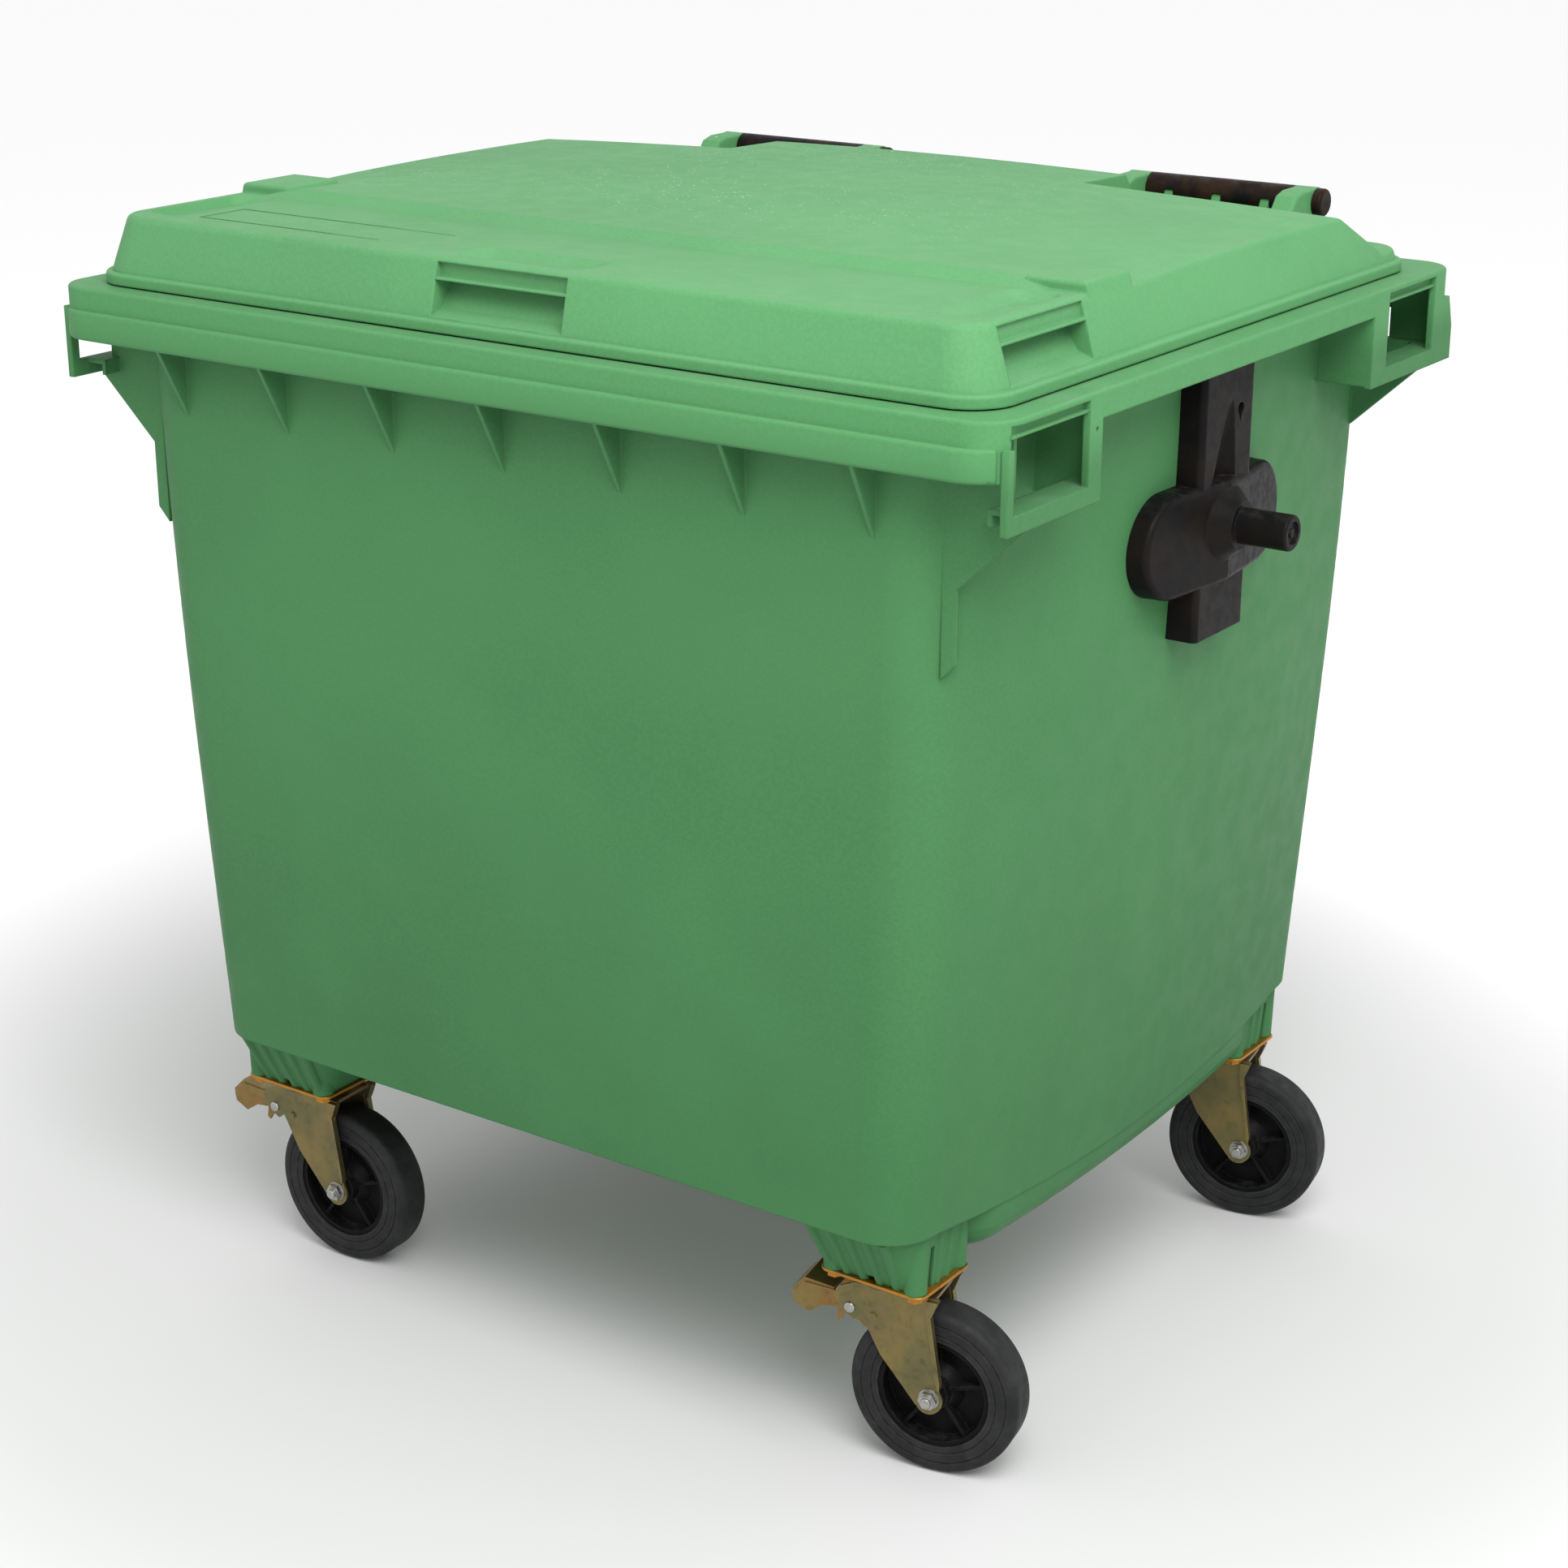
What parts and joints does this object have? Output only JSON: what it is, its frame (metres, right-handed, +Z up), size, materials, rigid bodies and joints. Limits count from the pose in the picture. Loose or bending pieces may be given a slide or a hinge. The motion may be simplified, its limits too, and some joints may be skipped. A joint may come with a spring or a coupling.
{
  "type": "four-wheeled waste container",
  "caption": "Large moulded waste container with a flat hinged lid, lifting pins at both sides and swivelling wheels, two of them braked.",
  "frame": {"origin": "on the floor, under the middle of the whole container with its lid closed", "axes": "+Z up, -Y the front with the lid's hand recess, +Y the hinge side, +X the right-hand lifting pin"},
  "size_m": [1.376, 1.078, 1.3329],
  "materials": {
    "tub_plastic": "satin",
    "lid_plastic": "satin",
    "black_plastic": "satin",
    "rim_plastic": "satin",
    "tyre_rubber": "matte",
    "seal_rubber": "matte",
    "yellow_zinc": "satin",
    "steel": "satin"
  },
  "bodies": {
    "container_body": {"container": "tub_plastic", "trunnion_bracket_right": "black_plastic", "trunnion_bracket_left": "black_plastic", "trunnion_bolts": "steel", "hinge_pin_left": "steel", "hinge_pin_right": "steel", "hinge_cap_left": "black_plastic", "hinge_cap_right": "black_plastic", "hinge_grip_left": "black_plastic", "hinge_grip_right": "black_plastic", "caster_bolts": "steel", "caster_nuts": "steel", "caster_plate_front_left": "yellow_zinc", "swivel_race_front_left": "steel", "swivel_balls_front_left": "steel", "kingpin_front_left": "steel", "caster_plate_front_right": "yellow_zinc", "swivel_race_front_right": "steel", "swivel_balls_front_right": "steel", "kingpin_front_right": "steel", "caster_plate_rear_left": "yellow_zinc", "swivel_race_rear_left": "steel", "swivel_balls_rear_left": "steel", "kingpin_rear_left": "steel", "caster_plate_rear_right": "yellow_zinc", "swivel_race_rear_right": "steel", "swivel_balls_rear_right": "steel", "kingpin_rear_right": "steel"},
    "lid_body": {"lid": "lid_plastic"},
    "drain_body": {"drain_plug": "black_plastic", "drain_seal": "seal_rubber"},
    "swivel_front_left": {"fork_front_left": "yellow_zinc", "axle_sleeve_front_left": "steel", "axle_bolt_front_left": "steel", "axle_nut_front_left": "steel", "brake_pin_front_left": "steel"},
    "wheel_front_left": {"wheel_rim_front_left": "rim_plastic", "tyre_front_left": "tyre_rubber"},
    "pedal_front_left": {"brake_pedal_front_left": "yellow_zinc"},
    "swivel_front_right": {"fork_front_right": "yellow_zinc", "axle_sleeve_front_right": "steel", "axle_bolt_front_right": "steel", "axle_nut_front_right": "steel", "brake_pin_front_right": "steel"},
    "wheel_front_right": {"wheel_rim_front_right": "rim_plastic", "tyre_front_right": "tyre_rubber"},
    "pedal_front_right": {"brake_pedal_front_right": "yellow_zinc"},
    "swivel_rear_left": {"fork_rear_left": "yellow_zinc", "axle_sleeve_rear_left": "steel", "axle_bolt_rear_left": "steel", "axle_nut_rear_left": "steel"},
    "wheel_rear_left": {"wheel_rim_rear_left": "rim_plastic", "tyre_rear_left": "tyre_rubber"},
    "swivel_rear_right": {"fork_rear_right": "yellow_zinc", "axle_sleeve_rear_right": "steel", "axle_bolt_rear_right": "steel", "axle_nut_rear_right": "steel"},
    "wheel_rear_right": {"wheel_rim_rear_right": "rim_plastic", "tyre_rear_right": "tyre_rubber"}
  },
  "joints": [
    {"name": "lid_hinge", "type": "hinge", "parent": "container_body", "child": "lid_body", "pos_m": [0, 0.521, 1.29], "axis": [-1, 0, 0], "range_deg": [0, 260]},
    {"name": "drain_plug_pull", "type": "slide", "parent": "container_body", "child": "drain_body", "axis": [0, 0, -1], "range_m": [0, 0.06]},
    {"name": "swivel_front_left", "type": "hinge", "parent": "container_body", "child": "swivel_front_left", "pos_m": [-0.436, -0.383, 0.22], "axis": [0, 0, 1], "continuous": true},
    {"name": "roll_front_left", "type": "hinge", "parent": "swivel_front_left", "child": "wheel_front_left", "pos_m": [-0.38006, -0.38046, 0.1], "axis": [-0.0454, 0.999, 0], "continuous": true},
    {"name": "brake_front_left", "type": "hinge", "parent": "swivel_front_left", "child": "pedal_front_left", "pos_m": [-0.47596, -0.38482, 0.192], "axis": [0.0454, -0.999, 0], "range_deg": [0, 14]},
    {"name": "swivel_front_right", "type": "hinge", "parent": "container_body", "child": "swivel_front_right", "pos_m": [0.436, -0.383, 0.22], "axis": [0, 0, 1], "continuous": true},
    {"name": "roll_front_right", "type": "hinge", "parent": "swivel_front_right", "child": "wheel_front_right", "pos_m": [0.49099, -0.37241, 0.1], "axis": [-0.1891, 0.982, 0], "continuous": true},
    {"name": "brake_front_right", "type": "hinge", "parent": "swivel_front_right", "child": "pedal_front_right", "pos_m": [0.39672, -0.39056, 0.192], "axis": [0.1891, -0.982, 0], "range_deg": [0, 14]},
    {"name": "swivel_rear_left", "type": "hinge", "parent": "container_body", "child": "swivel_rear_left", "pos_m": [-0.436, 0.365, 0.22], "axis": [0, 0, 1], "continuous": true},
    {"name": "roll_rear_left", "type": "hinge", "parent": "swivel_rear_left", "child": "wheel_rear_left", "pos_m": [-0.38031, 0.37085, 0.1], "axis": [-0.1045, 0.9945, 0], "continuous": true},
    {"name": "swivel_rear_right", "type": "hinge", "parent": "container_body", "child": "swivel_rear_right", "pos_m": [0.436, 0.365, 0.22], "axis": [0, 0, 1], "continuous": true},
    {"name": "roll_rear_right", "type": "hinge", "parent": "swivel_rear_right", "child": "wheel_rear_right", "pos_m": [0.49117, 0.37463, 0.1], "axis": [-0.1719, 0.9851, 0], "continuous": true}
  ]
}
